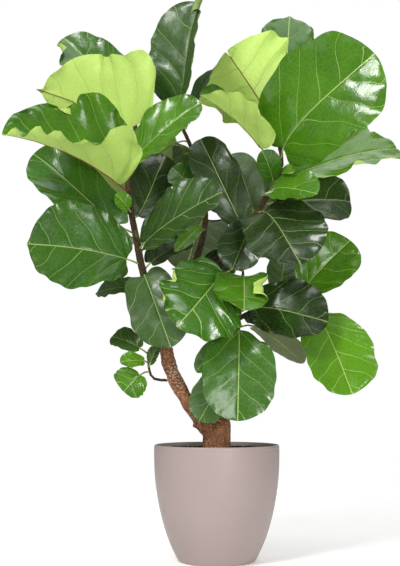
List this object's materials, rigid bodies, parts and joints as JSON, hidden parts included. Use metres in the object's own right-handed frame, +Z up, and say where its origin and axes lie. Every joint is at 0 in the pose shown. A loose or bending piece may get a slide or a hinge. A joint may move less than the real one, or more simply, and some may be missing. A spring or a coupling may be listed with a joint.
{
  "type": "potted fiddle leaf fig",
  "caption": "Bushy fiddle leaf fig with broad wavy leaves on branching stems and a leaning trunk, planted in a round tapered matte planter.",
  "frame": {"origin": "centre of the planter's underside, on the surface it stands on", "axes": "+Z up the plant, -Y its front, +X to the right as seen from the front"},
  "size_m": [0.943, 0.5561, 1.435],
  "materials": {
    "planter": "matte",
    "soil": "matte",
    "bark": "matte",
    "stem": "matte",
    "leaf": "satin"
  },
  "bodies": {
    "root": {"planter": "planter", "potting_soil": "soil", "trunk": "bark", "left_stem": "stem", "centre_stem": "stem", "right_stem": "stem", "lower_stem": "stem", "side_stem": "stem", "twig": "stem", "leaf_01": "leaf", "leaf_02": "leaf", "leaf_03": "leaf", "leaf_04": "leaf", "leaf_05": "leaf", "leaf_06": "leaf", "leaf_07": "leaf", "leaf_08": "leaf", "leaf_09": "leaf", "leaf_10": "leaf", "leaf_11": "leaf", "leaf_12": "leaf", "leaf_13": "leaf", "leaf_14": "leaf", "leaf_15": "leaf", "leaf_16": "leaf", "leaf_17": "leaf", "leaf_18": "leaf", "leaf_19": "leaf", "leaf_20": "leaf", "leaf_21": "leaf", "leaf_22": "leaf", "leaf_23": "leaf", "leaf_24": "leaf", "leaf_25": "leaf", "leaf_26": "leaf", "leaf_27": "leaf", "leaf_28": "leaf", "leaf_29": "leaf", "leaf_30": "leaf", "leaf_31": "leaf", "leaf_32": "leaf", "leaf_33": "leaf", "leaf_34": "leaf", "leaf_35": "leaf", "leaf_36": "leaf", "leaf_37": "leaf", "leaf_38": "leaf", "leaf_39": "leaf", "leaf_40": "leaf", "leaf_41": "leaf", "leaf_42": "leaf", "leaf_43": "leaf", "leaf_44": "leaf", "leaf_45": "leaf", "leaf_46": "leaf", "leaf_47": "leaf", "leaf_48": "leaf", "leaf_49": "leaf"}
  },
  "joints": []
}
